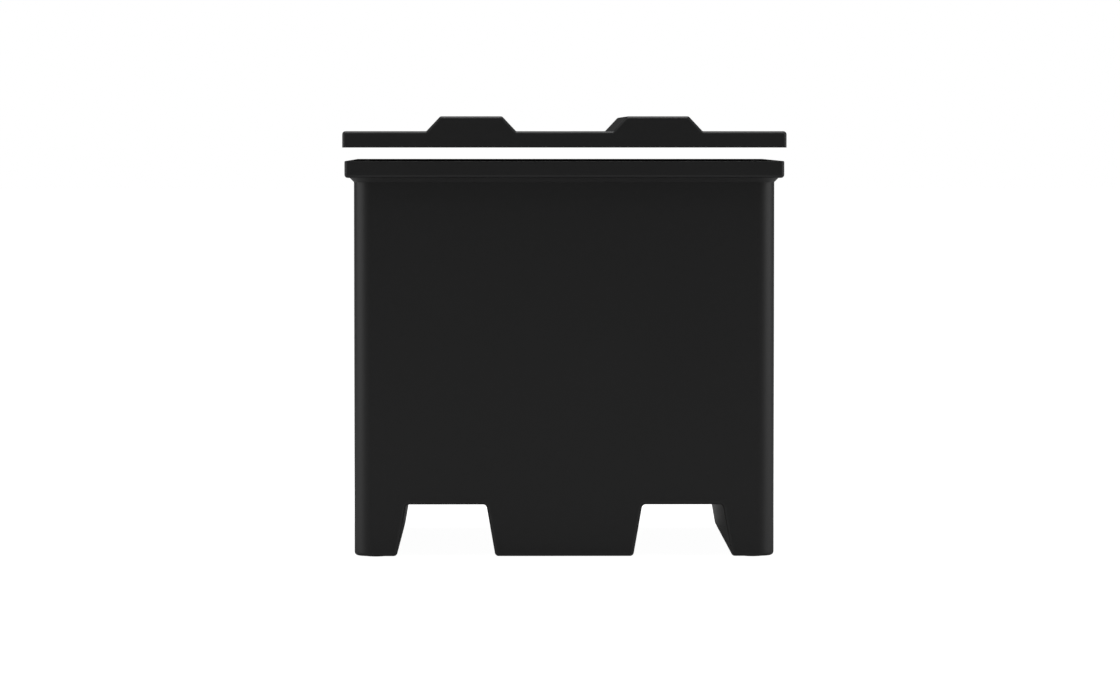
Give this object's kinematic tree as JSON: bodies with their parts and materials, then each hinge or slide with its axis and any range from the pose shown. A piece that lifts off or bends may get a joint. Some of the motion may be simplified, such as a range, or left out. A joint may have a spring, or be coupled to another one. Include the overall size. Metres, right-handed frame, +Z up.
{
  "type": "resin wash station",
  "caption": "Black lidded wash tub on tunnelled skids, with a lift-out basket, a magnetically driven impeller, rear controls and a drain valve.",
  "frame": {"origin": "on the ground, under the middle of the tub", "axes": "+Z up, the plain front faces -Y, the controls and the drain are on +Y"},
  "size_m": [0.4038, 0.4449, 0.4024],
  "materials": {
    "tub": "fine moulded grain, black",
    "rubber": "matt black",
    "steel": "bright",
    "screw": "plated",
    "bearing_plastic": "natural white",
    "motor_can": "satin black",
    "bracket_steel": "zinc plated",
    "ribbon": "grey",
    "board": "green lacquer",
    "panel": "fine grain",
    "zinc": "cast",
    "inner_plastic": "black",
    "cover_plastic": "black",
    "lens": "green lens",
    "brass": "turned, nickel worn",
    "seal": "soft black",
    "basket_plastic": "dark grey",
    "wire": "stainless",
    "grip": "ribbed black",
    "magnet": "nickel plated",
    "knob": "black, white pointer",
    "button": "spun face",
    "chrome": "polished",
    "lever_steel": "zinc plated"
  },
  "bodies": {
    "tank": {"tank": "tub", "skid_base": "tub", "foot_pads": "rubber", "spindle": "steel", "thrust_washer": "bearing_plastic", "spindle_clip": "steel", "impeller_guard": "tub", "guard_screws": "screw", "motor": "motor_can", "motor_bearings": "steel", "motor_bracket": "bracket_steel", "motor_screws": "screw", "bracket_screws": "screw", "motor_ribbon": "ribbon", "control_board": "board", "board_screws": "screw", "control_panel": "panel", "panel_screws": "screw", "timer_control": "zinc", "timer_nut": "steel", "button_switch": "inner_plastic", "dc_inlet": "inner_plastic", "inlet_pin": "steel", "status_light": "lens", "base_cover": "cover_plastic", "cover_screws": "screw", "drain_body": "brass", "drain_outer_seal": "seal", "drain_inner_seal": "seal", "drain_nut": "brass", "drain_strainer": "steel", "ball_seats": "bearing_plastic", "stem_packing": "seal", "hose_spigot": "brass"},
    "lid": {"lid": "tub", "lid_seal": "seal"},
    "basket": {"basket": "basket_plastic"},
    "left_bail": {"left_bail": "wire", "left_grip": "grip"},
    "right_bail": {"right_bail": "wire", "right_grip": "grip"},
    "impeller": {"impeller": "inner_plastic", "impeller_magnets": "magnet", "impeller_bush": "bearing_plastic"},
    "rotor": {"motor_shaft": "steel", "magnet_carrier": "inner_plastic", "drive_magnets": "magnet"},
    "timer_knob": {"timer_knob": "knob", "timer_shaft": "steel"},
    "power_button": {"power_button": "button"},
    "drain_valve": {"valve_ball": "chrome", "valve_stem": "steel", "drain_lever": "lever_steel", "lever_sleeve": "grip", "lever_nut": "steel"}
  },
  "joints": [
    {"name": "lid_lift", "type": "slide", "parent": "tank", "child": "lid", "axis": [0, 0, 1], "range_m": [-0.021, 0.25]},
    {"name": "basket_lift", "type": "slide", "parent": "tank", "child": "basket", "axis": [0, 0, 1], "range_m": [0, 0.105]},
    {"name": "right_bail_fold", "type": "hinge", "parent": "basket", "child": "right_bail", "pos_m": [0.162, 0, 0.2017], "axis": [0, 1, 0], "range_deg": [0, 90]},
    {"name": "left_bail_fold", "type": "hinge", "parent": "basket", "child": "left_bail", "pos_m": [-0.162, 0, 0.2017], "axis": [0, -1, 0], "range_deg": [0, 90]},
    {"name": "motor_spin", "type": "hinge", "parent": "tank", "child": "rotor", "pos_m": [0, 0, 0.04], "axis": [0, 0, 1], "continuous": true},
    {"name": "impeller_spin", "type": "hinge", "parent": "tank", "child": "impeller", "pos_m": [0, 0, 0.06], "axis": [0, 0, 1], "continuous": true},
    {"name": "timer_turn", "type": "hinge", "parent": "tank", "child": "timer_knob", "pos_m": [0.03, 0.186, 0.0246], "axis": [0, -1, 0], "range_deg": [0, 280]},
    {"name": "power_press", "type": "slide", "parent": "tank", "child": "power_button", "axis": [0, -1, 0], "range_m": [0, 0.002], "stiffness_N_per_m": 1000},
    {"name": "drain_turn", "type": "hinge", "parent": "tank", "child": "drain_valve", "pos_m": [-0.11, 0.2025, 0.09], "axis": [0, 0, 1], "range_deg": [0, 90]}
  ],
  "couplings": [
    {"joint": "impeller_spin", "follows": "motor_spin", "ratio": 1}
  ]
}
